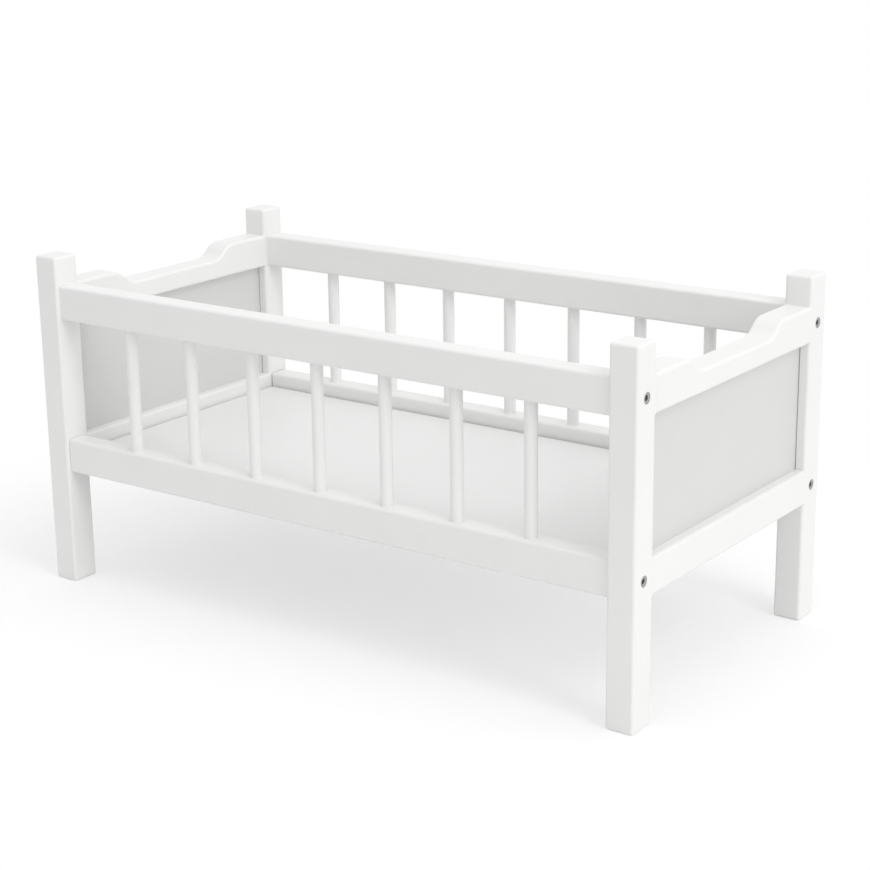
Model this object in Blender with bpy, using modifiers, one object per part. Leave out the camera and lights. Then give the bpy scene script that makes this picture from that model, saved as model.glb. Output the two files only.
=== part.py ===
"""Wooden doll cot: four posts, two barred sides, two panelled ends and a loose base board.

The cot stands on the floor at z = 0, centred on the origin. +X is its length and -Y its front.
Lengths are in metres.
"""
import math

import bmesh
import bpy
from mathutils import Vector

# Overall size
LENGTH = 0.600
WIDTH = 0.300
HEIGHT = 0.295

# Corner posts
POST_X = 0.024
POST_Y = 0.026
POST_ROUND = 0.0025

# Side rails, centred on the posts
SIDE_RAIL_THICK = 0.020
SIDE_RAIL_ROUND = 0.0025
LOWER_RAIL_HIGH = 0.030
UPPER_RAIL_HIGH = 0.030
UNDER_RAILS = 0.1025
POST_ABOVE_RAILS = 0.025

# Spindles
SPINDLES = 7
SPINDLE_D = 0.0105
FIRST_SPINDLE_IN = 0.0735
SPINDLE_IN = 0.012
SPINDLE_CHAMFER = 0.001

# End frames, as thick as the posts
END_RAIL_ROUND = 0.0025
LANDING_DEEP = 0.005
SHOULDER_LONG = 0.043
CURVE_LONG = 0.030
CURVE_DROP = 0.0125
CURVE_STEPS = 6
PANEL_THICK = 0.006
PANEL_IN = 0.006
PANEL_PLAY = 0.0004

# Dowels that join the end rails to the posts
DOWEL_D = 0.006
DOWEL_IN_RAIL = 0.014
DOWEL_CHAMFER = 0.0007
DOWEL_EDGE = 0.0055
DOWEL_END_WALL = 0.0012

# Base board and the ledges that carry it
BOARD_THICK = 0.006
BOARD_PLAY = 0.0025
BOARD_EDGE = 0.0005
LEDGE_WIDE = 0.010
LEDGE_HIGH = 0.011
LEDGE_EDGE = 0.0008

# Socket head bolts
BOLT_LONG = 0.050
BOLT_D = 0.0065
BOLT_TIP = 0.0015
BOLT_HEAD_D = 0.0090
BOLT_RIM = 0.0008
BOLT_CONE = 0.0022
BOLT_SINK = 0.0002
SOCKET_WIDE = 0.004
SOCKET_DEEP = 0.003

# Gap between touching pieces, and how far a cut runs past the wall
FIT = 0.0003
OVERRUN = 0.002

# Facets
ROUND_SEGMENTS = 3
EDGE_SEGMENTS = 1
SPINDLE_SIDES = 20
DOWEL_SIDES = 12
BOLT_SIDES = 16
HEXAGON = 6
SMOOTH_ANGLE = math.radians(35)

# Heights and places that follow from the sizes above
lower_rail_top = UNDER_RAILS + LOWER_RAIL_HIGH
upper_rail_top = HEIGHT - POST_ABOVE_RAILS
upper_rail_bottom = upper_rail_top - UPPER_RAIL_HIGH
post_centre_x = (LENGTH - POST_X) / 2
post_centre_y = (WIDTH - POST_Y) / 2
inside_x = LENGTH / 2 - POST_X
inside_y = WIDTH / 2 - POST_Y
rail_inner_y = post_centre_y - SIDE_RAIL_THICK / 2
lower_rail_z = UNDER_RAILS + LOWER_RAIL_HIGH / 2
upper_rail_z = upper_rail_top - UPPER_RAIL_HIGH / 2

SIDES = {"front": -1, "back": 1}
ENDS = {"left": -1, "right": 1}

for old in list(bpy.data.objects):
    bpy.data.objects.remove(old, do_unlink=True)

parts = bpy.data.collections.new("doll_cot")
cutters = bpy.data.collections.new("doll_cot_cutters")
bpy.context.scene.collection.children.link(parts)
bpy.context.scene.collection.children.link(cutters)

origin = bpy.data.objects.new("doll_cot_origin", None)
parts.objects.link(origin)


def material(name, colour, roughness, metallic=0.0):
    """A plain Principled BSDF."""
    made = bpy.data.materials.new(name)
    made.use_nodes = True
    shader = made.node_tree.nodes["Principled BSDF"]
    shader.inputs["Base Color"].default_value = (*colour, 1.0)
    shader.inputs["Roughness"].default_value = roughness
    shader.inputs["Metallic"].default_value = metallic
    made.diffuse_color = (*colour, 1.0)
    return made


frame_lacquer = material("frame_lacquer", (0.86, 0.86, 0.855), 0.35)
spindle_lacquer = material("spindle_lacquer", (0.87, 0.87, 0.865), 0.33)
panel_lacquer = material("panel_lacquer", (0.85, 0.85, 0.845), 0.40)
board_lacquer = material("board_lacquer", (0.85, 0.85, 0.845), 0.45)
bare_beech = material("bare_beech", (0.66, 0.48, 0.31), 0.60)
bolt_steel = material("bolt_steel", (0.56, 0.56, 0.55), 0.30, 1.0)


def add(name, mesh, look, place=(0, 0, 0), turn=(0, 0, 0)):
    """Put a mesh in the scene as a piece of the cot."""
    piece = bpy.data.objects.new(name, mesh)
    piece.location = place
    piece.rotation_euler = turn
    piece.parent = origin
    if look.name not in mesh.materials:
        mesh.materials.append(look)
    parts.objects.link(piece)
    return piece


def cutter(name, mesh, place=(0, 0, 0), turn=(0, 0, 0)):
    """Put a mesh in the scene as a guide that only cuts."""
    guide = bpy.data.objects.new(name, mesh)
    guide.location = place
    guide.rotation_euler = turn
    guide.parent = origin
    guide.hide_render = True
    guide.display_type = "WIRE"
    cutters.objects.link(guide)
    return guide


def mesh_of(name, shape):
    """Turn a bmesh into a smooth-shaded mesh with crisp edges."""
    mesh = bpy.data.meshes.new(name)
    shape.to_mesh(mesh)
    shape.free()
    mesh.shade_smooth()
    mesh.set_sharp_from_angle(angle=SMOOTH_ANGLE)
    return mesh


def block(name, size):
    """A box of the given size round its own origin."""
    shape = bmesh.new()
    bmesh.ops.create_cube(shape, size=1)
    bmesh.ops.scale(shape, vec=Vector(size), verts=shape.verts)
    return mesh_of(name, shape)


def rod(name, diameter, length, sides, chamfer=0):
    """A round rod along its own Z, with chamfered ends if a chamfer is given."""
    shape = bmesh.new()
    bmesh.ops.create_cone(shape, cap_ends=True, segments=sides, radius1=diameter / 2,
                          radius2=diameter / 2, depth=length)
    if chamfer:
        rims = [edge for edge in shape.edges
                if edge.verts[0].co.z * edge.verts[1].co.z > 0]
        bmesh.ops.bevel(shape, geom=rims, offset=chamfer, segments=EDGE_SEGMENTS, affect="EDGES")
    return mesh_of(name, shape)


def turned(name, outline, steps):
    """A turned shape: the outline (radius, height), from its top down, swept round Z."""
    shape = bmesh.new()
    points = [shape.verts.new((radius, 0, height)) for radius, height in outline]
    for first, second in zip(points, points[1:]):
        shape.edges.new((first, second))
    profile = bpy.data.meshes.new(name)
    shape.to_mesh(profile)
    shape.free()
    sweep = bpy.data.objects.new(name, profile)
    cutters.objects.link(sweep)
    screw = sweep.modifiers.new("turn", "SCREW")
    screw.steps = steps
    screw.render_steps = steps
    screw.use_merge_vertices = True
    screw.merge_threshold = FIT / 10
    bpy.context.view_layer.update()
    seen = sweep.evaluated_get(bpy.context.evaluated_depsgraph_get())
    mesh = bpy.data.meshes.new_from_object(seen)
    bpy.data.objects.remove(sweep)
    mesh.shade_smooth()
    mesh.set_sharp_from_angle(angle=SMOOTH_ANGLE)
    return mesh


def round_edges(piece, width, segments, chosen=None):
    """Round the edges of a piece: those that the test picks, or all of them."""
    bevel = piece.modifiers.new("rounding", "BEVEL")
    bevel.width = width
    bevel.segments = segments
    bevel.use_clamp_overlap = True
    bevel.limit_method = "NONE"
    if chosen:
        bevel.limit_method = "WEIGHT"
        mesh = piece.data
        weights = mesh.attributes.new("bevel_weight_edge", "FLOAT", "EDGE")
        for edge in mesh.edges:
            start, end = (mesh.vertices[i].co for i in edge.vertices)
            weights.data[edge.index].value = float(chosen(start, end))


def shape_with(piece, operation, guides):
    """Add each guide's shape to the piece, or take it out."""
    for guide in guides:
        boolean = piece.modifiers.new(guide.name, "BOOLEAN")
        boolean.operation = operation
        boolean.solver = "EXACT"
        boolean.object = guide


def cut(piece, *guides):
    """Take each guide's shape out of the piece."""
    shape_with(piece, "DIFFERENCE", guides)


# Socket head bolts: turned steel, a flat head on a short cone, a plain shank and a hexagon socket.
# They go through the posts into the end grain of the side rails, two at each post.
def bolt_outline(grow, above):
    """Half the bolt's section, grown all round, with its head drawn out above by the given length."""
    head = BOLT_HEAD_D / 2 + grow
    shank = BOLT_D / 2 + grow
    cone_top = -BOLT_RIM - grow
    cone_bottom = cone_top - BOLT_CONE
    end = -BOLT_LONG - grow
    return [(0, above), (head, above), (head, cone_top), (shank, cone_bottom),
            (shank, end + BOLT_TIP), (shank - BOLT_TIP, end), (0, end)]


bolt_mesh = turned("bolt", bolt_outline(0, 0), BOLT_SIDES)
bolt_hole_mesh = turned("bolt_hole", bolt_outline(FIT, OVERRUN), BOLT_SIDES)
socket_mesh = rod("socket", SOCKET_WIDE / math.cos(math.pi / HEXAGON), SOCKET_DEEP * 2, HEXAGON)

bolt_holes = {}
for end, toward in ENDS.items():
    for side, across in SIDES.items():
        for level, height in (("lower", lower_rail_z), ("upper", upper_rail_z)):
            place = (toward * (LENGTH / 2 - BOLT_SINK), across * post_centre_y, height)
            turn = (0, toward * math.pi / 2, 0)
            label = f"{side}_{end}_{level}"
            bolt = add(f"bolt_{label}", bolt_mesh, bolt_steel, place, turn)
            cut(bolt, cutter(f"socket_{label}", socket_mesh, place, turn))
            bolt_holes[label] = cutter(f"bolt_hole_{label}", bolt_hole_mesh, place, turn)

# Dowels: short beech pins, two at each end of each end rail, glued into the rail and the post.
# In the post they stop short of the bolt, and along the rail they keep clear of the panel's groove.
dowel_in_post = POST_Y / 2 - BOLT_D / 2 - FIT - DOWEL_END_WALL - FIT
dowel_long = dowel_in_post + DOWEL_IN_RAIL
dowel_centre_y = inside_y + (dowel_in_post - DOWEL_IN_RAIL) / 2
dowel_heights = {
    "bottom_rail_low": UNDER_RAILS + DOWEL_EDGE,
    "bottom_rail_high": lower_rail_top - PANEL_IN - PANEL_PLAY - DOWEL_EDGE,
    "top_rail_low": upper_rail_bottom + PANEL_IN + PANEL_PLAY + DOWEL_EDGE,
    "top_rail_high": upper_rail_top - DOWEL_EDGE,
}
dowel_mesh = rod("dowel", DOWEL_D, dowel_long, DOWEL_SIDES, DOWEL_CHAMFER)
dowel_hole_mesh = rod("dowel_hole", DOWEL_D + 2 * FIT, dowel_long + 2 * FIT, DOWEL_SIDES)

dowel_holes = {}
for end, toward in ENDS.items():
    for side, across in SIDES.items():
        for seat, height in dowel_heights.items():
            place = (toward * post_centre_x, across * dowel_centre_y, height)
            turn = (math.pi / 2, 0, 0)
            label = f"{side}_{end}_{seat}"
            add(f"dowel_{label}", dowel_mesh, bare_beech, place, turn)
            dowel_holes[label] = cutter(f"dowel_hole_{label}", dowel_hole_mesh, place, turn)

# End panels: thin boards that stand in a groove round their frame, with a little play.
panel_size = Vector((PANEL_THICK, 2 * (inside_y + PANEL_IN),
                     upper_rail_bottom - lower_rail_top + 2 * PANEL_IN))
panel_z = (upper_rail_bottom + lower_rail_top) / 2
panel_mesh = block("end_panel", panel_size)
groove_size = panel_size + 2 * Vector((PANEL_PLAY, PANEL_PLAY, PANEL_PLAY))
groove_mesh = block("panel_groove", groove_size)

grooves = {}
for end, toward in ENDS.items():
    place = (toward * post_centre_x, 0, panel_z)
    add(f"end_panel_{end}", panel_mesh, panel_lacquer, place)
    grooves[end] = cutter(f"panel_groove_{end}", groove_mesh, place)

# Corner posts: full-height square timber with all edges softly rounded, but left square where an
# end rail lands, so that the frame is flush there. A landing has the rail's own rounded section.
# Each post takes two bolts, four dowels and one edge of an end panel.
rail_levels = {
    "lower": (LOWER_RAIL_HIGH, lower_rail_z),
    "upper": (UPPER_RAIL_HIGH, upper_rail_z),
}
for end, toward in ENDS.items():
    for side, across in SIDES.items():
        post = add(f"post_{side}_{end}", block("post", (POST_X, POST_Y, HEIGHT)), frame_lacquer,
                   (toward * post_centre_x, across * post_centre_y, HEIGHT / 2))
        round_edges(post, POST_ROUND, ROUND_SEGMENTS)
        for level, (high, centre_z) in rail_levels.items():
            landing = cutter(f"landing_{side}_{end}_{level}",
                             block("landing", (POST_X, LANDING_DEEP, high)),
                             (toward * post_centre_x, across * (inside_y + LANDING_DEEP / 2),
                              centre_z))
            round_edges(landing, END_RAIL_ROUND, ROUND_SEGMENTS, lambda a, b: a.y * b.y < 0)
            shape_with(post, "UNION", [landing])
        cut(post, grooves[end])
        cut(post, *(bolt_holes[f"{side}_{end}_{level}"] for level in ("lower", "upper")))
        cut(post, *(dowel_holes[f"{side}_{end}_{seat}"] for seat in dowel_heights))

# Spindles: round dowels that stand in blind holes between the lower and the upper side rail.
spindle_long = upper_rail_bottom - lower_rail_top + 2 * (SPINDLE_IN - FIT)
spindle_z = (upper_rail_bottom + lower_rail_top) / 2
first_spindle_x = FIRST_SPINDLE_IN - inside_x
spindle_pitch = -2 * first_spindle_x / (SPINDLES - 1)
spindle_mesh = rod("spindle", SPINDLE_D, spindle_long, SPINDLE_SIDES, SPINDLE_CHAMFER)
spindle_hole_mesh = rod("spindle_hole", SPINDLE_D + 2 * FIT, spindle_long + 2 * FIT,
                        SPINDLE_SIDES)

spindle_holes = {side: [] for side in SIDES}
for side, across in SIDES.items():
    for number in range(1, SPINDLES + 1):
        place = (first_spindle_x + (number - 1) * spindle_pitch, across * post_centre_y,
                 spindle_z)
        add(f"spindle_{side}_{number}", spindle_mesh, spindle_lacquer, place)
        spindle_holes[side].append(cutter(f"spindle_holes_{side}_{number}", spindle_hole_mesh,
                                          place))

# Side rails: planed timber with rounded long edges and square ends, butted against the posts.
side_rail_long = 2 * (inside_x - FIT)
for side, across in SIDES.items():
    for level, (high, centre_z) in rail_levels.items():
        rail = add(f"side_rail_{side}_{level}",
                   block("side_rail", (side_rail_long, SIDE_RAIL_THICK, high)), frame_lacquer,
                   (0, across * post_centre_y, centre_z))
        round_edges(rail, SIDE_RAIL_ROUND, ROUND_SEGMENTS, lambda a, b: a.x * b.x < 0)
        cut(rail, *(bolt_holes[f"{side}_{end}_{level}"] for end in ENDS))
        cut(rail, *spindle_holes[side])

# End bottom rails: as thick as the posts, grooved along the top for the panel.
end_rail_long = 2 * (inside_y - FIT)
for end, toward in ENDS.items():
    rail = add(f"end_bottom_rail_{end}",
               block("end_bottom_rail", (POST_X, end_rail_long, LOWER_RAIL_HIGH)), frame_lacquer,
               (toward * post_centre_x, 0, lower_rail_z))
    round_edges(rail, END_RAIL_ROUND, ROUND_SEGMENTS, lambda a, b: a.y * b.y < 0)
    cut(rail, grooves[end])
    cut(rail, *(dowel_holes[f"{side}_{end}_bottom_rail_{row}"]
                for side in SIDES for row in ("low", "high")))


# End top rails: sawn to an outline whose upper edge runs level from each post, swings down in two
# tangent arcs and runs level again, lower, across the middle. Grooved below for the panel.
def top_rail_outline():
    """Half the upper edge, from the post inwards, as (distance from the middle, height)."""
    half = end_rail_long / 2
    bend = (CURVE_LONG ** 2 + CURVE_DROP ** 2) / (4 * CURVE_DROP)
    sweep = 2 * math.atan2(CURVE_DROP, CURVE_LONG)
    start = half - SHOULDER_LONG
    edge = [(half, UPPER_RAIL_HIGH)]
    for step in range(CURVE_STEPS + 1):
        angle = sweep * step / CURVE_STEPS
        edge.append((start - bend * math.sin(angle),
                     UPPER_RAIL_HIGH - bend * (1 - math.cos(angle))))
    for step in range(CURVE_STEPS - 1, -1, -1):
        angle = sweep * step / CURVE_STEPS
        edge.append((start - CURVE_LONG + bend * math.sin(angle),
                     UPPER_RAIL_HIGH - CURVE_DROP + bend * (1 - math.cos(angle))))
    return edge


def outlined(name, outline, thick):
    """A flat outline as thick timber, standing in the YZ plane round its own origin."""
    curve = bpy.data.curves.new(name, "CURVE")
    curve.dimensions = "2D"
    curve.fill_mode = "BOTH"
    curve.extrude = thick / 2
    line = curve.splines.new("POLY")
    line.points.add(len(outline) - 1)
    for point, (along, high) in zip(line.points, outline):
        point.co = (along, high, 0, 1)
    line.use_cyclic_u = True
    drawn = bpy.data.objects.new(name, curve)
    cutters.objects.link(drawn)
    bpy.context.view_layer.update()
    seen = drawn.evaluated_get(bpy.context.evaluated_depsgraph_get())
    flat = bpy.data.meshes.new_from_object(seen)
    bpy.data.objects.remove(drawn)
    shape = bmesh.new()
    shape.from_mesh(flat)
    bmesh.ops.remove_doubles(shape, verts=shape.verts, dist=FIT / 10)
    bmesh.ops.dissolve_limit(shape, angle_limit=math.radians(1), verts=shape.verts,
                             edges=shape.edges)
    return mesh_of(name, shape)


half_edge = top_rail_outline()
top_rail_points = [(-end_rail_long / 2, 0), (end_rail_long / 2, 0)]
top_rail_points += half_edge
top_rail_points += [(-along, high) for along, high in reversed(half_edge)]
for end, toward in ENDS.items():
    rail = add(f"end_top_rail_{end}", outlined("end_top_rail", top_rail_points, POST_X),
               frame_lacquer, (toward * post_centre_x, 0, upper_rail_bottom),
               (math.pi / 2, 0, math.pi / 2))
    round_edges(rail, END_RAIL_ROUND, ROUND_SEGMENTS,
                lambda a, b: a.z * b.z > 0 and abs(a.x - b.x) > FIT)
    cut(rail, grooves[end])
    cut(rail, *(dowel_holes[f"{side}_{end}_top_rail_{row}"]
                for side in SIDES for row in ("low", "high")))

# Ledges: strips glued along the inner faces of the lower side rails.
ledge_size = (2 * (inside_x - BOARD_PLAY), LEDGE_WIDE, LEDGE_HIGH)
for side, across in SIDES.items():
    ledge = add(f"ledge_{side}", block("ledge", ledge_size), frame_lacquer,
                (0, across * (rail_inner_y - FIT - LEDGE_WIDE / 2), UNDER_RAILS + LEDGE_HIGH / 2))
    round_edges(ledge, LEDGE_EDGE, EDGE_SEGMENTS)

# Base board: one thin board that lies on the ledges with a little play all round.
board_size = (2 * (inside_x - BOARD_PLAY), 2 * (rail_inner_y - BOARD_PLAY), BOARD_THICK)
board = add("base_board", block("base_board", board_size), board_lacquer,
            (0, 0, UNDER_RAILS + LEDGE_HIGH + FIT + BOARD_THICK / 2))
round_edges(board, BOARD_EDGE, EDGE_SEGMENTS)
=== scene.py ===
"""A white lacquered wooden doll cot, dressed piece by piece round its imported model, in metres."""
import math

import bmesh
import bpy
import numpy as np
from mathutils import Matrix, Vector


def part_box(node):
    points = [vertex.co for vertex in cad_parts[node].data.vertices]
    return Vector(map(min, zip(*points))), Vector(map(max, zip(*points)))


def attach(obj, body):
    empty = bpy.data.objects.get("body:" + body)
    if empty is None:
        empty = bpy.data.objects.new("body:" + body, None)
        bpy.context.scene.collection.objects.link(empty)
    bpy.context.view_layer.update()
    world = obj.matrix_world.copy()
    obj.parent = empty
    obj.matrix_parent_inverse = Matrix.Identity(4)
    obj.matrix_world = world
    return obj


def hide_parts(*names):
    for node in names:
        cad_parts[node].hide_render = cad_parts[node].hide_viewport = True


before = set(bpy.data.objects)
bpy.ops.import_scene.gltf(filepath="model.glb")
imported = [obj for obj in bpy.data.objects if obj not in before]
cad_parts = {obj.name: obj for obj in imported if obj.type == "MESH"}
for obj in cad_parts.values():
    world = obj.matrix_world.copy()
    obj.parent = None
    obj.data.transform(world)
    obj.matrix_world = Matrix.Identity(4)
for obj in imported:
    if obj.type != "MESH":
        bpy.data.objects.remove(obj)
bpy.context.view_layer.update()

# Corner posts. Square timber, planed and sanded so that every edge is softly rounded, then sprayed
# with white satin lacquer. Where an end rail is glued on, the post's edge stays square and the
# seam is filled, so that both read as one flush frame. Bored for bolts and dowels.
post_rounding = 0.0025
flush_rounding = 0.0001
post_stations = 60
edge_steps = 7
edge_shoulder = 0.0002
squaring_steps = 9
sanding_waver = 0.10
slow_share, slow_wave = 0.6, 0.034
quick_share, quick_wave, quick_shift = 0.4, 0.0131, 2.3
doubled_within, sliver_under = 1e-7, 1e-8
sharp_past = 40
bore_play = 0.0003
bore_overrun = 0.002
panel_play = 0.0004
post_groove_play = 0.0006
bolt_sides = 36
bolt_shank = 0.00325
head_rim = 0.0008
head_cone = 0.0022
head_play = 0.00005
dowel_sides = 20
frame_tone = (0.845, 0.845, 0.838)
frame_roughness, frame_grain = 0.38, 0.000008
lacquer_ior = 1.48
grain_across, grain_along = 700, 22
cloud_scale, peel_scale, swell_scale = 14, 420, 38
noise_low, noise_high = 0.3, 0.7
darker, lighter = 0.988, 1.008
smoother, rougher = 0.04, 0.05
swell_depth, peel_depth = 0.00010, 0.000005
columns = {"X": (1, 2, 0), "Y": (2, 0, 1), "Z": (0, 1, 2)}


def corners_of(node):
    """The lowest and the highest corner of a node's box, as arrays."""
    return tuple(np.array(corner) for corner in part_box(node))


def laid(across, up, along, direction):
    """Points from three equal arrays, with the third laid along the named direction."""
    points = np.empty((along.size, 3))
    for values, column in zip((across, up, along), columns[direction]):
        points[:, column] = values.ravel()
    return points


def skin(rings, ring_size):
    """Quads between neighbouring rings of points, and one flat face over each end."""
    row = np.arange(rings - 1)[:, None] * ring_size
    step = np.arange(ring_size)[None, :]
    after = (step + 1) % ring_size
    quads = np.stack([row + step, row + after, row + ring_size + after, row + ring_size + step], -1)
    ends = np.stack([step[0, ::-1], step[0] + (rings - 1) * ring_size])
    return quads.reshape(-1, 4), ends


def timber(place, direction, stations, half_across, half_up, rounding, reach=None, stretch=1.0):
    """A bar with rounded edges, as rings of points along its length.

    A ring goes round four corners. Each corner is a quarter circle of radius reach, about a
    centre that lies rounding inside both faces. Where reach is smaller than rounding the ring
    draws in, as over the rounded end of a bar. Across a sloping edge the circle is stretched by
    the slope's secant. One more point each side of a corner, a shoulder's width along the flat,
    keeps the flats flat, and each end ring is repeated a little smaller in its flat end face.
    """
    count = len(stations)
    reach = rounding if reach is None else reach
    stretch = np.broadcast_to(np.reshape(stretch, (-1, 1, 1)), (count, 1, 1))
    tall = np.concatenate([stretch, np.ones((count, 2, 1)), stretch], 1)
    angle = np.radians(90.0) * (np.arange(4)[:, None] + np.arange(edge_steps + 1) / edge_steps)
    side_across = np.array([1, -1, -1, 1])[:, None]
    side_up = np.array([1, 1, -1, -1])[:, None]
    wide = np.broadcast_to(np.reshape(half_across, (-1, 1, 1)), (count, 1, 1))
    across = side_across * (wide - rounding[:, :, None] * tall)
    across = across + reach[:, :, None] * tall * np.cos(angle)
    up = side_up * (half_up - rounding[:, :, None]) + reach[:, :, None] * np.sin(angle)
    lead_across, lead_up = np.sin(angle[:, :1]), -np.cos(angle[:, :1])
    trail_across, trail_up = -np.sin(angle[:, -1:]), np.cos(angle[:, -1:])
    across = np.concatenate([across[:, :, :1] + edge_shoulder * lead_across, across,
                             across[:, :, -1:] + edge_shoulder * trail_across], 2)
    up = np.concatenate([up[:, :, :1] + edge_shoulder * lead_up, up,
                         up[:, :, -1:] + edge_shoulder * trail_up], 2)
    across, up = across.reshape(count, -1), up.reshape(count, -1)
    along = np.repeat(stations[:, None], across.shape[1], 1)
    smaller = 1 - edge_shoulder / half_up
    across = np.concatenate([across[:1] * smaller, across, across[-1:] * smaller])
    up = np.concatenate([up[:1] * smaller, up, up[-1:] * smaller])
    along = np.concatenate([along[:1], along, along[-1:]])
    return laid(across, up, along, direction) + place, *skin(*along.shape)


def turned(centre, direction, sides, outline):
    """A turned shape: an outline of (radius, height), foot first, carried round an axis.

    Each point lies at its height, at the radius times the cosine and the sine of its angle.
    """
    radius, height = np.array(outline, float).T
    angle = np.arange(sides) * (2 * math.pi / sides)
    points = laid(radius[:, None] * np.cos(angle), radius[:, None] * np.sin(angle),
                  np.repeat(height[:, None], sides, 1), direction)
    return points + centre, *skin(len(radius), sides)


def raw_mesh(name, shapes):
    """One mesh from closed shapes, with doubled points merged and faces turned outwards."""
    faces, start = [], 0
    for points, quads, ends in shapes:
        faces += (quads + start).tolist() + (ends + start).tolist()
        start += len(points)
    mesh = bpy.data.meshes.new(name)
    mesh.from_pydata(np.concatenate([points for points, quads, ends in shapes]), [], faces)
    work = bmesh.new()
    work.from_mesh(mesh)
    bmesh.ops.remove_doubles(work, verts=work.verts, dist=doubled_within)
    bmesh.ops.dissolve_degenerate(work, edges=work.edges, dist=sliver_under)
    bmesh.ops.recalc_face_normals(work, faces=work.faces)
    work.to_mesh(mesh)
    work.free()
    return mesh


def build(node, shape, finish, bores=()):
    """Make the finished piece that stands for a node: its shape less its bores."""
    mesh = raw_mesh(node, [shape])
    if bores:
        whole = bpy.data.objects.new("whole_piece", mesh)
        drill = bpy.data.objects.new("drill", raw_mesh("drill", bores))
        bpy.context.scene.collection.objects.link(whole)
        bpy.context.scene.collection.objects.link(drill)
        boring = whole.modifiers.new("boring", "BOOLEAN")
        boring.operation = "DIFFERENCE"
        boring.solver = "EXACT"
        boring.object = drill
        bpy.context.view_layer.update()
        seen = whole.evaluated_get(bpy.context.evaluated_depsgraph_get())
        mesh = bpy.data.meshes.new_from_object(seen)
        bpy.data.objects.remove(whole)
        bpy.data.objects.remove(drill)
    mesh.name = node
    mesh.shade_smooth()
    mesh.set_sharp_from_angle(angle=math.radians(sharp_past))
    mesh.materials.clear()
    mesh.materials.append(finish)
    piece = bpy.data.objects.new("finished_" + node, mesh)
    bpy.context.scene.collection.objects.link(piece)
    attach(piece, "root")
    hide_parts(node)


def sanded(rounding, stations, piece):
    """The radius of the four long edges: it swells and thins by a slow and a quicker sine wave."""
    phase = piece + np.arange(4)
    wave = (slow_share * np.sin(stations[:, None] / slow_wave + phase)
            + quick_share * np.sin(stations[:, None] / quick_wave + quick_shift * phase))
    return rounding * (1 + sanding_waver * wave)


def groove(end, right_play):
    """The groove round one end frame: a block a play larger than the panel all round.

    The play at the panel's right face is given, as it is not the same in posts and rails.
    """
    low, high = corners_of("end_panel_" + end)
    across = np.array([[1, 0, 0, 1]] * 2)
    up = np.array([[1, 1, 0, 0]] * 2)
    along = np.array([[0] * 4, [1] * 4])
    size = high - low + panel_play + (right_play, panel_play, panel_play)
    return low - panel_play + laid(across, up, along, "Z") * size, *skin(2, 4)


def bolt_bore(node):
    """The stepped hole of one bolt: its head's width, then a cone down to its shank."""
    low, high = corners_of(node)
    out = 1 if "right" in node else -1
    head = (high[2] - low[2]) / 2 + head_play
    shank = bolt_shank + bore_play
    outline = [(shank, low[0] - high[0] - bore_play), (shank, -head_rim - head_cone),
               (head, -head_rim), (head, bore_overrun)]
    face = np.array([high[0] if out > 0 else low[0], (low[1] + high[1]) / 2, (low[2] + high[2]) / 2])
    return turned(face, "X", bolt_sides, [(radius, height * out) for radius, height in outline])


def dowel_bore(node):
    """The plain hole of one dowel, a little wider and longer than the dowel."""
    low, high = corners_of(node)
    half = (high[1] - low[1]) / 2 + bore_play
    radius = (high[2] - low[2]) / 2 + bore_play
    return turned((low + high) / 2, "Y", dowel_sides, [(radius, -half), (radius, half)])


def lacquer(name, tone, direction, roughness, grain_depth):
    """White lacquer sprayed over wood: long faint grain, slow swells, fine orange peel.

    The tone and the roughness wander a little with soft clouds of noise. The bump is the sum of
    the swells, the grain, drawn out along the named direction, and the peel.
    """
    look = bpy.data.materials.new(name)
    look.use_nodes = True
    nodes, links = look.node_tree.nodes, look.node_tree.links
    shader = nodes["Principled BSDF"]
    shader.inputs["IOR"].default_value = lacquer_ior
    place = nodes.new("ShaderNodeTexCoord")

    def noise(scales, detail):
        stretched = nodes.new("ShaderNodeMapping")
        stretched.inputs["Scale"].default_value = scales
        links.new(place.outputs["Object"], stretched.inputs["Vector"])
        made = nodes.new("ShaderNodeTexNoise")
        made.inputs["Scale"].default_value = 1.0
        made.inputs["Detail"].default_value = detail
        links.new(stretched.outputs["Vector"], made.inputs["Vector"])
        return made.outputs["Fac"]

    def ranged(source, low, high):
        made = nodes.new("ShaderNodeMapRange")
        made.inputs["From Min"].default_value = noise_low
        made.inputs["From Max"].default_value = noise_high
        made.inputs["To Min"].default_value = low
        made.inputs["To Max"].default_value = high
        links.new(source, made.inputs["Value"])
        return made.outputs["Result"]

    grain_scales = [grain_across] * 3
    grain_scales["XYZ".index(direction)] = grain_along
    grain = noise(grain_scales, detail=4)
    clouds = noise([cloud_scale] * 3, detail=3)
    peel = noise([peel_scale] * 3, detail=2)
    swell = noise([swell_scale] * 3, detail=1)

    shade = nodes.new("ShaderNodeMix")
    shade.data_type = "RGBA"
    shade.inputs["A"].default_value = (*(value * darker for value in tone), 1)
    shade.inputs["B"].default_value = (*(value * lighter for value in tone), 1)
    links.new(ranged(clouds, 0, 1), shade.inputs["Factor"])
    links.new(shade.outputs["Result"], shader.inputs["Base Color"])
    links.new(ranged(clouds, roughness - smoother, roughness + rougher), shader.inputs["Roughness"])
    normal = None
    for source, depth in ((swell, swell_depth), (grain, grain_depth), (peel, peel_depth)):
        bump = nodes.new("ShaderNodeBump")
        bump.inputs["Distance"].default_value = depth
        links.new(source, bump.inputs["Height"])
        if normal:
            links.new(normal, bump.inputs["Normal"])
        normal = bump.outputs["Normal"]
    links.new(normal, shader.inputs["Normal"])
    return look


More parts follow.
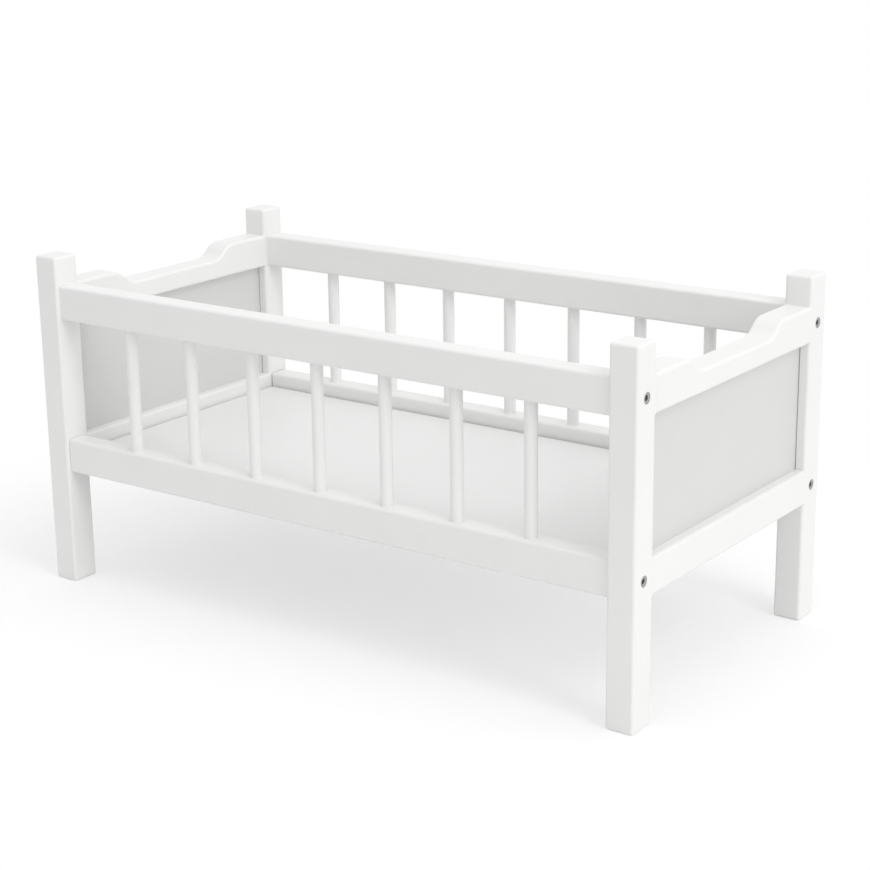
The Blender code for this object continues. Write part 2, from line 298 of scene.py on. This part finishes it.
post_finish = lacquer("satin_lacquer_on_posts", frame_tone, "Z", frame_roughness, frame_grain)
over = np.radians(np.linspace(90, 0, edge_steps + 1))
piece_number = 0
for side in ("front", "back"):
    for end in ("left", "right"):
        node = f"post_{side}_{end}"
        low, high = corners_of(node)
        half, middle = (high - low) / 2, (high + low) / 2
        foot = low[2] + post_rounding * (1 - np.sin(over))
        head = high[2] - post_rounding * (1 - np.sin(over[::-1]))
        rails = [corners_of(f"end_{level}_rail_{end}") for level in ("bottom", "top")]
        rise = post_rounding * (1 - np.cos(np.radians(np.linspace(0, 90, squaring_steps))))
        shaft = np.concatenate([np.linspace(foot[-1], head[0], post_stations)[1:-1]]
                               + [edge for rail in rails for edge in (rail[0][2] + rise,
                                                                      rail[1][2] - rise)])
        shaft = np.unique(np.round(shaft, 7))
        stations = np.concatenate([foot, shaft, head])
        drawn_in = np.concatenate([np.cos(over), np.ones(len(shaft)), np.cos(over[::-1])])[:, None]
        rounding = sanded(post_rounding, stations, piece_number)
        into_rail = np.max([np.minimum(stations - rail[0][2], rail[1][2] - stations)
                            for rail in rails], axis=0)
        squared = 1 - np.clip(into_rail / post_rounding, 0, 1)
        squared = 1 - np.sqrt(1 - squared ** 2)
        for corner in (2, 3) if side == "back" else (0, 1):
            rounding[:, corner] = np.maximum(rounding[:, corner] * squared, flush_rounding)
        rounding[:edge_steps + 1] = rounding[edge_steps]
        rounding[-edge_steps - 1:] = rounding[-edge_steps - 1]
        bores = [groove(end, post_groove_play)]
        bores += [bolt_bore(f"bolt_{side}_{end}_{level}") for level in ("lower", "upper")]
        bores += [dowel_bore(f"dowel_{side}_{end}_{rail}_rail_{row}")
                  for rail in ("bottom", "top") for row in ("low", "high")]
        shape = timber((middle[0], middle[1], 0), "Z", stations, half[0], half[1], rounding,
                       rounding * drawn_in)
        build(node, shape, post_finish, bores)
        piece_number += 1

# Side rails. Planed timber, thinner than the posts and set on their middle, with rounded long
# edges. Their square ends butt against the posts and are bolted there from outside. They are
# bored for the spindles. The upper ones close tight, the lower leave a hairline, or a little more.
rail_rounding = 0.0025
rail_stations = 70
tight_joint = 0.00003
hairline = 0.0003
short_of_post = 0.0009
spindle_sides = 40
side_rail_finish = lacquer("satin_lacquer_on_side_rails", frame_tone, "X", frame_roughness,
                           frame_grain)


def spindle_bore(node):
    """The blind holes of one spindle in both rails, drilled as one long hole."""
    low, high = corners_of(node)
    half = (high[2] - low[2]) / 2 + bore_play
    radius = (high[0] - low[0]) / 2 + bore_play
    return turned((low + high) / 2, "Z", spindle_sides, [(radius, -half), (radius, half)])


for side in ("front", "back"):
    for level in ("lower", "upper"):
        node = f"side_rail_{side}_{level}"
        low, high = corners_of(node)
        half, middle = (high - low) / 2, (high + low) / 2
        between_posts = corners_of(f"post_{side}_right")[0][0]
        joint = tight_joint if level == "upper" else hairline
        left_joint = short_of_post if side == "back" and level == "lower" else joint
        stations = np.linspace(left_joint - between_posts, between_posts - joint, rail_stations)
        rounding = sanded(rail_rounding, stations, piece_number)
        bores = [bolt_bore(f"bolt_{side}_{end}_{level}") for end in ("left", "right")]
        bores += [spindle_bore(f"spindle_{side}_{number}") for number in range(1, 8)]
        shape = timber((0, middle[1], middle[2]), "X", stations, half[1], half[2], rounding)
        build(node, shape, side_rail_finish, bores)
        piece_number += 1

# Spindles. Round beech dowel rod, glued into blind holes in both side rails before spraying, so
# that the lacquer draws up into a small fillet round each foot and head.
spindle_tone = (0.85, 0.85, 0.843)
spindle_roughness, spindle_grain = 0.38, 0.000006
spindle_stations = 26
spindle_swell, swell_wave, swell_shift = 0.004, 0.021, 1.7
spindle_chamfer = 0.001
fillet_steps = 9
fillet_wide = 0.00045
fillet_tall = 0.0011
fillet_lift = 0.00002
spindle_finish = lacquer("satin_lacquer_on_spindles", spindle_tone, "Z", spindle_roughness,
                         spindle_grain)

# A fillet thins with the square of what is left of its climb. The shaft swells by a sine wave.
climb = np.linspace(0, 1, fillet_steps)
fillet = fillet_wide * (1 - climb) ** 2
for side in ("front", "back"):
    foot = corners_of(f"side_rail_{side}_lower")[1][2] + fillet_lift
    head = corners_of(f"side_rail_{side}_upper")[0][2] - fillet_lift
    for number in range(1, 8):
        node = f"spindle_{side}_{number}"
        low, high = corners_of(node)
        radius, middle = (high[0] - low[0]) / 2, (high + low) / 2
        shaft = np.linspace(foot + fillet_tall, head - fillet_tall, spindle_stations)[1:-1]
        swell = radius * (1 + spindle_swell * np.sin(shaft / swell_wave + number * swell_shift))
        heights = np.concatenate([[low[2], low[2] + spindle_chamfer, foot],
                                  foot + fillet_tall * climb, shaft,
                                  head - fillet_tall * climb[::-1],
                                  [head, high[2] - spindle_chamfer, high[2]]]) - middle[2]
        radii = np.concatenate([[radius - spindle_chamfer, radius, radius], radius + fillet, swell,
                                radius + fillet[::-1], [radius, radius, radius - spindle_chamfer]])
        shape = turned(middle, "Z", spindle_sides, np.stack([radii, heights], 1))
        build(node, shape, spindle_finish)

# End bottom rails. As thick as the posts and flush with them, dowelled and glued to them, with a
# groove along the top that takes the panel.
end_rail_rounding = 0.0025
end_rail_stations = 40
plain_near_seam = 0.02
filled_seam = 0.00002
rail_groove_play = 0.00006
end_rail_finish = lacquer("satin_lacquer_on_end_rails", frame_tone, "Y", frame_roughness, frame_grain)


def sanded_between(stations, between_posts, piece):
    """The radius of an end rail's edges: sanded, and fading to even near the filled seams."""
    fading = np.clip((between_posts - np.abs(stations)) / plain_near_seam, 0, 1)[:, None]
    rounding = sanded(end_rail_rounding, stations, piece)
    return end_rail_rounding + (rounding - end_rail_rounding) * fading


for end in ("left", "right"):
    node = f"end_bottom_rail_{end}"
    low, high = corners_of(node)
    half, middle = (high - low) / 2, (high + low) / 2
    between_posts = corners_of(f"post_back_{end}")[0][1] - filled_seam
    stations = np.linspace(-between_posts, between_posts, end_rail_stations)
    rounding = sanded_between(stations, between_posts, piece_number)
    bores = [groove(end, rail_groove_play)]
    bores += [dowel_bore(f"dowel_{side}_{end}_bottom_rail_{row}")
              for side in ("front", "back") for row in ("low", "high")]
    shape = timber((middle[0], 0, middle[2]), "Y", stations, half[2], half[0], rounding)
    build(node, shape, end_rail_finish, bores)
    piece_number += 1

# End top rails. Sawn and sanded to a shaped upper edge: level beside each post, then down in two
# tangent arcs to a lower, level middle. The lower edge is straight and grooved for the panel.
shoulder_long = 0.043
curve_long = 0.030
curve_drop = 0.0125
straight_stations = 10
curve_stations = 31
curve_bend = (curve_long ** 2 + curve_drop ** 2) / (4 * curve_drop)


def shaped_edge(distance, shoulder_start):
    """Drop and slope of the upper edge at a distance from the middle of the rail.

    Between the shoulder and the lowered middle it follows two arcs of one radius, each from its
    own level to half the drop: an arc falls by the radius less the root of the radius squared
    less the run squared.
    """
    from_shoulder = np.clip(shoulder_start - distance, 0, curve_long / 2)
    from_middle = np.clip(distance - shoulder_start + curve_long, 0, curve_long / 2)
    near_shoulder = distance >= shoulder_start - curve_long / 2
    run = np.where(near_shoulder, from_shoulder, from_middle)
    fall = curve_bend - np.sqrt(curve_bend ** 2 - run ** 2)
    return (np.where(near_shoulder, fall, curve_drop - fall),
            run / np.sqrt(curve_bend ** 2 - run ** 2))


for end in ("left", "right"):
    node = f"end_top_rail_{end}"
    low, high = corners_of(node)
    half, middle = (high - low) / 2, (high + low) / 2
    between_posts = corners_of(f"post_back_{end}")[0][1] - filled_seam
    shoulder_start = half[1] - shoulder_long
    curve_end = shoulder_start - curve_long
    half_run = np.concatenate([np.linspace(0, curve_end, straight_stations)[:-1],
                               np.linspace(curve_end, shoulder_start, curve_stations),
                               np.linspace(shoulder_start, between_posts, straight_stations)[1:]])
    stations = np.concatenate([-half_run[:0:-1], half_run])
    drop, slope = shaped_edge(np.abs(stations), shoulder_start)
    height = high[2] - low[2] - drop
    rounding = sanded_between(stations, between_posts, piece_number)
    points, quads, ends = timber((middle[0], 0, low[2]), "Y", stations, height / 2, half[0],
                                 rounding, stretch=np.sqrt(1 + slope ** 2))
    height = np.concatenate([height[:1], height, height[-1:]])
    points[:, 2] += np.repeat(height / 2, len(points) // len(height))
    bores = [groove(end, rail_groove_play)]
    bores += [dowel_bore(f"dowel_{side}_{end}_top_rail_{row}")
              for side in ("front", "back") for row in ("low", "high")]
    build(node, (points, quads, ends), end_rail_finish, bores)
    piece_number += 1

# End panels. Thin fibreboard, sprayed on both faces in a slightly greyer white than the frame,
# standing loose in the groove round its frame, so that a fine dark line shows along one edge.
panel_tone = (0.675, 0.68, 0.668)
panel_roughness, panel_grain = 0.42, 0.000003
panel_rounding = 0.0004
panel_stations = 30
panel_finish = lacquer("satin_lacquer_on_panels", panel_tone, "Y", panel_roughness, panel_grain)
for end in ("left", "right"):
    node = f"end_panel_{end}"
    low, high = corners_of(node)
    half, middle = (high - low) / 2, (high + low) / 2
    stations = np.linspace(-half[1], half[1], panel_stations)
    shape = timber(middle, "Y", stations, half[2], half[0],
                   np.full((panel_stations, 4), panel_rounding))
    build(node, shape, panel_finish)

# Ledges. Two square strips glued along the lower side rails, which carry the base board. They are
# sprayed with the frame and hardly show.
ledge_rounding = 0.0008
ledge_stations = 40
for side in ("front", "back"):
    node = f"ledge_{side}"
    low, high = corners_of(node)
    half, middle = (high - low) / 2, (high + low) / 2
    stations = np.linspace(-half[0], half[0], ledge_stations)
    shape = timber(middle, "X", stations, half[1], half[2],
                   np.full((ledge_stations, 4), ledge_rounding))
    build(node, shape, side_rail_finish)

# Base board. One thin sheet of fibreboard with a matt white face, laid in loose on the ledges,
# with a narrow gap round it.
board_tone = (0.82, 0.825, 0.817)
board_roughness, board_grain = 0.46, 0.000003
board_rounding = 0.0005
board_stations = 60
board_finish = lacquer("matt_lacquer_on_base_board", board_tone, "X", board_roughness, board_grain)
low, high = corners_of("base_board")
half, middle = (high - low) / 2, (high + low) / 2
stations = np.linspace(-half[0], half[0], board_stations)
shape = timber(middle, "X", stations, half[1], half[2],
               np.full((board_stations, 4), board_rounding))
build("base_board", shape, board_finish)

# Bolts. Dull nickel-plated steel with a flat turned head, let in flush, and a hexagon socket,
# driven through each post into the end grain of a side rail.
plated_dark, plated_light = (0.36, 0.36, 0.355, 1), (0.48, 0.48, 0.47, 1)
plated_smooth, plated_dull = 0.38, 0.52
plated_scale = 900
plated_depth = 0.00001
bolt_steps = 72
bolt_tip = 0.0015
socket_half = 0.002
socket_deep = 0.003
drill_half, drill_deep = 0.0006, 0.0004

# The head from its rim inwards: how far inside the rim, and how far under the flat face.
rim_outline = ((0, 0.00035), (0.0001, 0.00012), (0.0004, 0), (0.0011, 0.00003))

# The mouth of the socket: radius, depth, and how far the ring has gone from circle to hexagon.
mouth_outline = ((0.0027, 0.00003, 0.35), (0.0023, 0.0002, 1), (socket_half, 0.0005, 1))

plated = bpy.data.materials.new("plated_steel")
plated.use_nodes = True
plated_nodes, plated_links = plated.node_tree.nodes, plated.node_tree.links
plated_shader = plated_nodes["Principled BSDF"]
plated_shader.inputs["Metallic"].default_value = 1.0
plated_place = plated_nodes.new("ShaderNodeTexCoord")
plated_noise = plated_nodes.new("ShaderNodeTexNoise")
plated_noise.inputs["Scale"].default_value = plated_scale
plated_noise.inputs["Detail"].default_value = 3
plated_links.new(plated_place.outputs["Object"], plated_noise.inputs["Vector"])
plated_mix = plated_nodes.new("ShaderNodeMix")
plated_mix.data_type = "RGBA"
plated_mix.inputs["A"].default_value = plated_dark
plated_mix.inputs["B"].default_value = plated_light
plated_links.new(plated_noise.outputs["Fac"], plated_mix.inputs["Factor"])
plated_links.new(plated_mix.outputs["Result"], plated_shader.inputs["Base Color"])
plated_rough = plated_nodes.new("ShaderNodeMapRange")
plated_rough.inputs["To Min"].default_value = plated_smooth
plated_rough.inputs["To Max"].default_value = plated_dull
plated_links.new(plated_noise.outputs["Fac"], plated_rough.inputs["Value"])
plated_links.new(plated_rough.outputs["Result"], plated_shader.inputs["Roughness"])
plated_bump = plated_nodes.new("ShaderNodeBump")
plated_bump.inputs["Distance"].default_value = plated_depth
plated_links.new(plated_noise.outputs["Fac"], plated_bump.inputs["Height"])
plated_links.new(plated_bump.outputs["Normal"], plated_shader.inputs["Normal"])


def bolt_shape(node):
    """A bolt, as rings from its tip out to its head and down into its socket.

    Each ring's radius is a mix of a circle and a hexagon: half the hexagon's width over the
    cosine of the angle to its nearest flat. The mix is all circle outside, all hexagon inside.
    """
    low, high = corners_of(node)
    out = 1 if "right" in node else -1
    long, head = high[0] - low[0], (high[2] - low[2]) / 2
    rows = [(bolt_shank - bolt_tip, -long, 0), (bolt_shank, bolt_tip - long, 0),
            (bolt_shank, -head_rim - head_cone, 0), (head, -head_rim, 0)]
    rows += [(head - inside, -under, 0) for inside, under in rim_outline]
    rows += [(radius, -under, share) for radius, under, share in mouth_outline]
    rows += [(socket_half, -socket_deep, 1), (drill_half, -socket_deep - drill_deep, 1)]
    rows = np.array(rows)
    angle = np.arange(bolt_steps) * (2 * math.pi / bolt_steps)
    to_flat = (angle + math.pi / 6) % (math.pi / 3) - math.pi / 6
    radius = rows[:, :1] * (1 + rows[:, 2:] * (1 / np.cos(to_flat) - 1))
    along = np.repeat(rows[:, 1:2] * out, len(angle), 1)
    face = np.array([high[0] if out > 0 else low[0], (low[1] + high[1]) / 2, (low[2] + high[2]) / 2])
    points = laid(radius * np.cos(angle), radius * np.sin(angle), along, "X")
    return points + face, *skin(*along.shape)


for side in ("front", "back"):
    for end in ("left", "right"):
        for level in ("lower", "upper"):
            node = f"bolt_{side}_{end}_{level}"
            build(node, bolt_shape(node), plated)

# Dowels. Short bare beech pins, glued into the end rails and posts. They are hidden, and keep
# their own shape with the colour and long grain of beech.
beech_dark, beech_light = (0.50, 0.33, 0.19, 1), (0.74, 0.56, 0.38, 1)
beech_grain = (900, 60, 900)
beech_roughness = 0.6
beech = bpy.data.materials.new("bare_beech_pin")
beech.use_nodes = True
beech_nodes, beech_links = beech.node_tree.nodes, beech.node_tree.links
beech_place = beech_nodes.new("ShaderNodeTexCoord")
beech_map = beech_nodes.new("ShaderNodeMapping")
beech_map.inputs["Scale"].default_value = beech_grain
beech_links.new(beech_place.outputs["Object"], beech_map.inputs["Vector"])
beech_noise = beech_nodes.new("ShaderNodeTexNoise")
beech_noise.inputs["Scale"].default_value = 1.0
beech_noise.inputs["Detail"].default_value = 4
beech_links.new(beech_map.outputs["Vector"], beech_noise.inputs["Vector"])
beech_ramp = beech_nodes.new("ShaderNodeValToRGB")
beech_ramp.color_ramp.elements[0].color = beech_dark
beech_ramp.color_ramp.elements[1].color = beech_light
beech_links.new(beech_noise.outputs["Fac"], beech_ramp.inputs["Fac"])
beech_shader = beech_nodes["Principled BSDF"]
beech_links.new(beech_ramp.outputs["Color"], beech_shader.inputs["Base Color"])
beech_shader.inputs["Roughness"].default_value = beech_roughness
for name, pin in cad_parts.items():
    if name.startswith("dowel_"):
        pin.data.materials.clear()
        pin.data.materials.append(beech)

# Floor. A sheet of white paper. To the camera it half glows near the cot, so that the cot's
# shadow stays on it but pale, and it fades to plain white further off.
floor_half = 1.4
floor_tone = 0.95
plain_white = (1, 1, 1, 1)
glow_near = 0.46
fade_starts, fade_ends = 0.38, 0.64
floor_mesh = bpy.data.meshes.new("floor")
floor_mesh.from_pydata([(-floor_half, -floor_half, 0), (floor_half, -floor_half, 0),
                        (floor_half, floor_half, 0), (-floor_half, floor_half, 0)],
                       [], [(0, 1, 2, 3)])
floor = bpy.data.objects.new("floor", floor_mesh)
bpy.context.scene.collection.objects.link(floor)
paper = bpy.data.materials.new("white_paper")
paper.use_nodes = True
paper_nodes, paper_links = paper.node_tree.nodes, paper.node_tree.links
paper_nodes.clear()
paper_out = paper_nodes.new("ShaderNodeOutputMaterial")
paper_path = paper_nodes.new("ShaderNodeLightPath")
paper_tone = paper_nodes.new("ShaderNodeMix")
paper_tone.data_type = "RGBA"
paper_tone.inputs["A"].default_value = (floor_tone, floor_tone, floor_tone, 1)
paper_tone.inputs["B"].default_value = plain_white
paper_links.new(paper_path.outputs["Is Camera Ray"], paper_tone.inputs["Factor"])
paper_diffuse = paper_nodes.new("ShaderNodeBsdfDiffuse")
paper_links.new(paper_tone.outputs["Result"], paper_diffuse.inputs["Color"])
paper_glow = paper_nodes.new("ShaderNodeEmission")
paper_place = paper_nodes.new("ShaderNodeTexCoord")
paper_distance = paper_nodes.new("ShaderNodeVectorMath")
paper_distance.operation = "LENGTH"
paper_links.new(paper_place.outputs["Object"], paper_distance.inputs[0])
paper_fade = paper_nodes.new("ShaderNodeMapRange")
paper_fade.interpolation_type = "SMOOTHSTEP"
paper_fade.inputs["From Min"].default_value = fade_starts
paper_fade.inputs["From Max"].default_value = fade_ends
paper_fade.inputs["To Min"].default_value = glow_near
paper_links.new(paper_distance.outputs["Value"], paper_fade.inputs["Value"])
paper_share = paper_nodes.new("ShaderNodeMath")
paper_share.operation = "MULTIPLY"
paper_links.new(paper_path.outputs["Is Camera Ray"], paper_share.inputs[0])
paper_links.new(paper_fade.outputs["Result"], paper_share.inputs[1])
paper_mixed = paper_nodes.new("ShaderNodeMixShader")
paper_links.new(paper_share.outputs["Value"], paper_mixed.inputs["Fac"])
paper_links.new(paper_diffuse.outputs["BSDF"], paper_mixed.inputs[1])
paper_links.new(paper_glow.outputs["Emission"], paper_mixed.inputs[2])
paper_links.new(paper_mixed.outputs["Shader"], paper_out.inputs["Surface"])
floor_mesh.materials.append(paper)

# Light. Dim white surroundings, brighter overhead and to the right, that the camera and all gloss
# see as plain white. Two soft lamps stand on the right, a little to the front, and two small ones
# hang close above the cot.
level_around = 0.455
more_overhead = 0.50
more_right = 0.29
white_level = 1.0
aim_height = 0.15
world = bpy.data.worlds.new("studio")
bpy.context.scene.world = world
world.use_nodes = True
world_nodes, world_links = world.node_tree.nodes, world.node_tree.links
back = world_nodes["Background"]
back.inputs["Color"].default_value = plain_white
world_place = world_nodes.new("ShaderNodeTexCoord")
world_split = world_nodes.new("ShaderNodeSeparateXYZ")
world_links.new(world_place.outputs["Generated"], world_split.inputs["Vector"])
world_rise = world_nodes.new("ShaderNodeMapRange")
world_rise.inputs["To Min"].default_value = level_around
world_rise.inputs["To Max"].default_value = level_around + more_overhead
world_links.new(world_split.outputs["Z"], world_rise.inputs["Value"])
world_right = world_nodes.new("ShaderNodeMapRange")
world_right.inputs["To Max"].default_value = more_right
world_links.new(world_split.outputs["X"], world_right.inputs["Value"])
world_sum = world_nodes.new("ShaderNodeMath")
world_links.new(world_rise.outputs["Result"], world_sum.inputs[0])
world_links.new(world_right.outputs["Result"], world_sum.inputs[1])
world_path = world_nodes.new("ShaderNodeLightPath")
last_level = world_sum.outputs["Value"]
for ray in ("Is Glossy Ray", "Is Transmission Ray", "Is Camera Ray"):
    step = world_nodes.new("ShaderNodeMix")
    step.data_type = "FLOAT"
    step.inputs["B"].default_value = white_level
    world_links.new(world_path.outputs[ray], step.inputs["Factor"])
    world_links.new(last_level, step.inputs["A"])
    last_level = step.outputs["Result"]
world_links.new(last_level, back.inputs["Strength"])

# Each lamp: how far it stands round from the right end towards the front, how high (degrees),
# how far off and how wide (metres), and its watts.
lamps = (("high_lamp", 18, 45, 4.0, 1.0, 13.9), ("low_lamp", 12, 20, 4.0, 1.0, 19.7),
         ("near_lamp", 30, 70, 1.3, 0.8, 1.2), ("lamp_above", 90, 88, 1.3, 0.8, 1.0))
for name, turn, rise, distance, wide, watts in lamps:
    light = bpy.data.lights.new(name, "AREA")
    light.size = wide
    light.energy = watts
    turned_by, raised_by = math.radians(turn), math.radians(rise)
    lamp = bpy.data.objects.new(name, light)
    lamp.location = (distance * math.cos(raised_by) * math.cos(turned_by),
                     -distance * math.cos(raised_by) * math.sin(turned_by),
                     distance * math.sin(raised_by) + aim_height)
    lamp.rotation_euler = (math.pi / 2 - raised_by, 0, math.pi / 2 - turned_by)
    lamp.visible_camera = False
    bpy.context.scene.collection.objects.link(lamp)

# Camera. It stands where the photograph was taken from, as fitted to the cot's straight edges and
# corners: in front of the cot and to its right, a little above it, and looking slightly down.
camera_lens, camera_sensor = 82.763, 36
camera_place = (0.97766, -1.31953, 0.63118)
camera_degrees = (73.5097, 0.7496, 35.8909)
camera = bpy.data.cameras.new("camera")
camera.lens = camera_lens
camera.sensor_width = camera_sensor
camera_object = bpy.data.objects.new("camera", camera)
camera_object.location = camera_place
camera_object.rotation_euler = [math.radians(value) for value in camera_degrees]
bpy.context.scene.collection.objects.link(camera_object)
bpy.context.scene.camera = camera_object
bpy.context.scene.view_settings.view_transform = "Standard"
